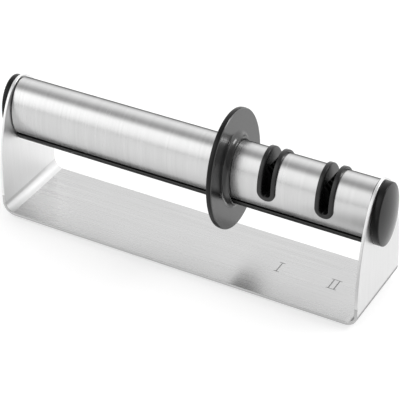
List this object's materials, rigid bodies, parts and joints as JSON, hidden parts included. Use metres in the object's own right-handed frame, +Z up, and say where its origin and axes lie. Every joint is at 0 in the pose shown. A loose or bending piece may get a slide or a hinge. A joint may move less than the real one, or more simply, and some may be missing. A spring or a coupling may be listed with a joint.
{
  "type": "pull through knife sharpener",
  "caption": "Kitchen knife sharpener: a bent steel stand holds an oval steel grip with a finger guard and blade slots over V-set abrasive rollers that turn as a blade is pulled through.",
  "frame": {"origin": "on the table under the middle of the stand", "axes": "+X along the grip towards the sharpening slots' end, +Y away from the user across the slots, +Z up"},
  "size_m": [0.2112, 0.0494, 0.0847],
  "materials": {
    "stand_steel": "satin, brushed along the strip",
    "pad_rubber": "matt",
    "tube_steel": "polished satin, brushed along the tube",
    "black_plastic": "matt moulded",
    "screw_steel": "plain zinc",
    "cap_plastic": "satin moulded",
    "guard_plastic": "satin moulded",
    "seal_rubber": "matt",
    "liner_plastic": "satin moulded",
    "axle_steel": "ground",
    "coarse_abrasive": "diamond grit on steel",
    "fine_abrasive": "fine dark grit",
    "spacer_plastic": "black nylon"
  },
  "bodies": {
    "sharpener": {"stand": "stand_steel", "base_pad": "pad_rubber", "grip_tube": "tube_steel", "bottom_rail": "black_plastic", "rail_screws": "screw_steel", "left_end_plug": "black_plastic", "right_end_plug": "black_plastic", "left_cap": "cap_plastic", "right_cap": "cap_plastic", "end_screws": "screw_steel", "lock_washers": "screw_steel", "guard": "guard_plastic", "guard_seal": "seal_rubber", "coarse_slot_liner": "liner_plastic", "fine_slot_liner": "liner_plastic", "coarse_cradle": "black_plastic", "fine_cradle": "black_plastic", "coarse_left_axle": "axle_steel", "coarse_right_axle": "axle_steel", "fine_left_axle": "axle_steel", "fine_right_axle": "axle_steel"},
    "coarse_left_roller": {"coarse_left_wheels": "coarse_abrasive", "coarse_left_spacers": "spacer_plastic"},
    "coarse_right_roller": {"coarse_right_wheels": "coarse_abrasive", "coarse_right_spacers": "spacer_plastic"},
    "fine_left_roller": {"fine_left_wheels": "fine_abrasive", "fine_left_spacers": "spacer_plastic"},
    "fine_right_roller": {"fine_right_wheels": "fine_abrasive", "fine_right_spacers": "spacer_plastic"}
  },
  "joints": [
    {"name": "coarse_left_spin", "type": "hinge", "parent": "sharpener", "child": "coarse_left_roller", "pos_m": [0.03934, 0, 0.05559], "axis": [0, 1, 0], "continuous": true},
    {"name": "coarse_right_spin", "type": "hinge", "parent": "sharpener", "child": "coarse_right_roller", "pos_m": [0.05286, 0, 0.05559], "axis": [0, 1, 0], "continuous": true},
    {"name": "fine_left_spin", "type": "hinge", "parent": "sharpener", "child": "fine_left_roller", "pos_m": [0.06934, 0, 0.05559], "axis": [0, 1, 0], "continuous": true},
    {"name": "fine_right_spin", "type": "hinge", "parent": "sharpener", "child": "fine_right_roller", "pos_m": [0.08286, 0, 0.05559], "axis": [0, 1, 0], "continuous": true}
  ]
}
